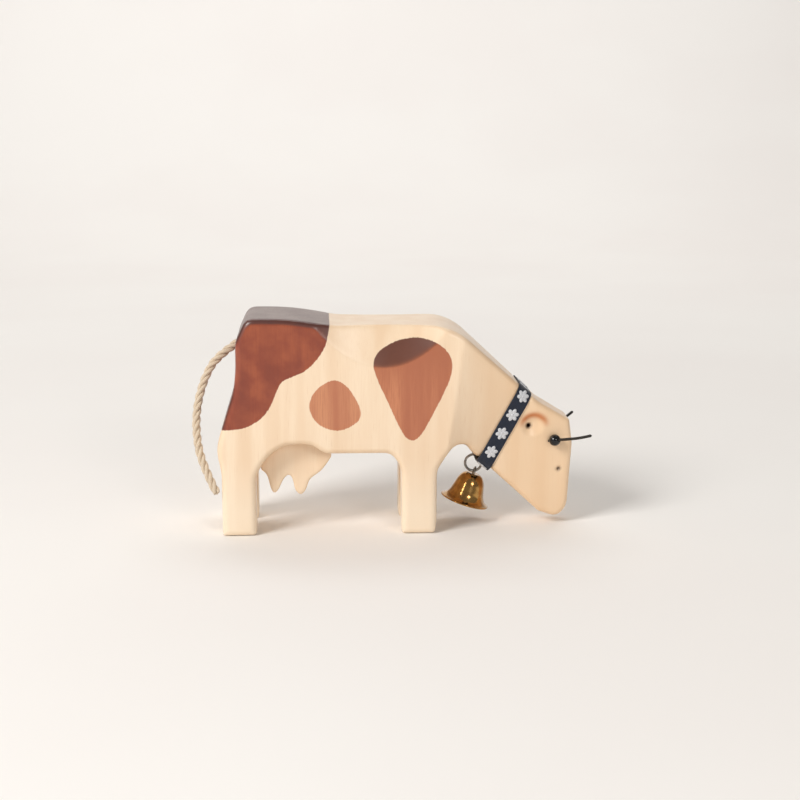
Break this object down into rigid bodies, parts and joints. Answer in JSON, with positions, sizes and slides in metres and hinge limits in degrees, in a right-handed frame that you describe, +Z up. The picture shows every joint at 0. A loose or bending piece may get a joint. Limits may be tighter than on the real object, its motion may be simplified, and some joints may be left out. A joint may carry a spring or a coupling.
{
  "type": "cow figurine",
  "caption": "Small carved wooden cow that grazes, with brown stained patches, twine tail, ribbon collar, brass bell, bead eyes and wire horns.",
  "frame": {"origin": "under the middle of the cow's length, without the tail, on the surface it stands on", "axes": "+X to the head, +Y to the cow's left side, +Z up"},
  "size_m": [0.1216, 0.0368, 0.067],
  "materials": {
    "lime_wood": "satin varnish",
    "woven_ribbon": "woven",
    "black_bead": "polished",
    "horn_wire": "black annealed wire",
    "tail_twine": "twisted twine",
    "steel_wire": "drawn wire",
    "bell_brass": "polished"
  },
  "bodies": {
    "cow": {"carved_body": "lime_wood", "udder": "lime_wood", "collar_ribbon": "woven_ribbon", "right_eye_bead": "black_bead", "left_eye_bead": "black_bead", "right_horn": "horn_wire", "left_horn": "horn_wire", "tail_cord": "tail_twine"},
    "ring": {"bell_ring": "steel_wire"},
    "bell": {"bell_shell": "bell_brass", "bell_staple": "steel_wire"},
    "clapper": {"bell_clapper": "steel_wire"}
  },
  "joints": [
    {"name": "ring_swing", "type": "hinge", "parent": "cow", "child": "ring", "pos_m": [0.02245, 0, 0.0188], "axis": [0, 1, 0], "range_deg": [-25, 8]},
    {"name": "bell_sway", "type": "hinge", "parent": "ring", "child": "bell", "pos_m": [0.02281, 0, 0.01623], "axis": [0.9903, 0, 0.1392], "range_deg": [-25, 25]},
    {"name": "clapper_swing", "type": "hinge", "parent": "bell", "child": "clapper", "pos_m": [0.02156, 0, 0.01237], "axis": [0, 1, 0], "range_deg": [-40, 40]}
  ]
}
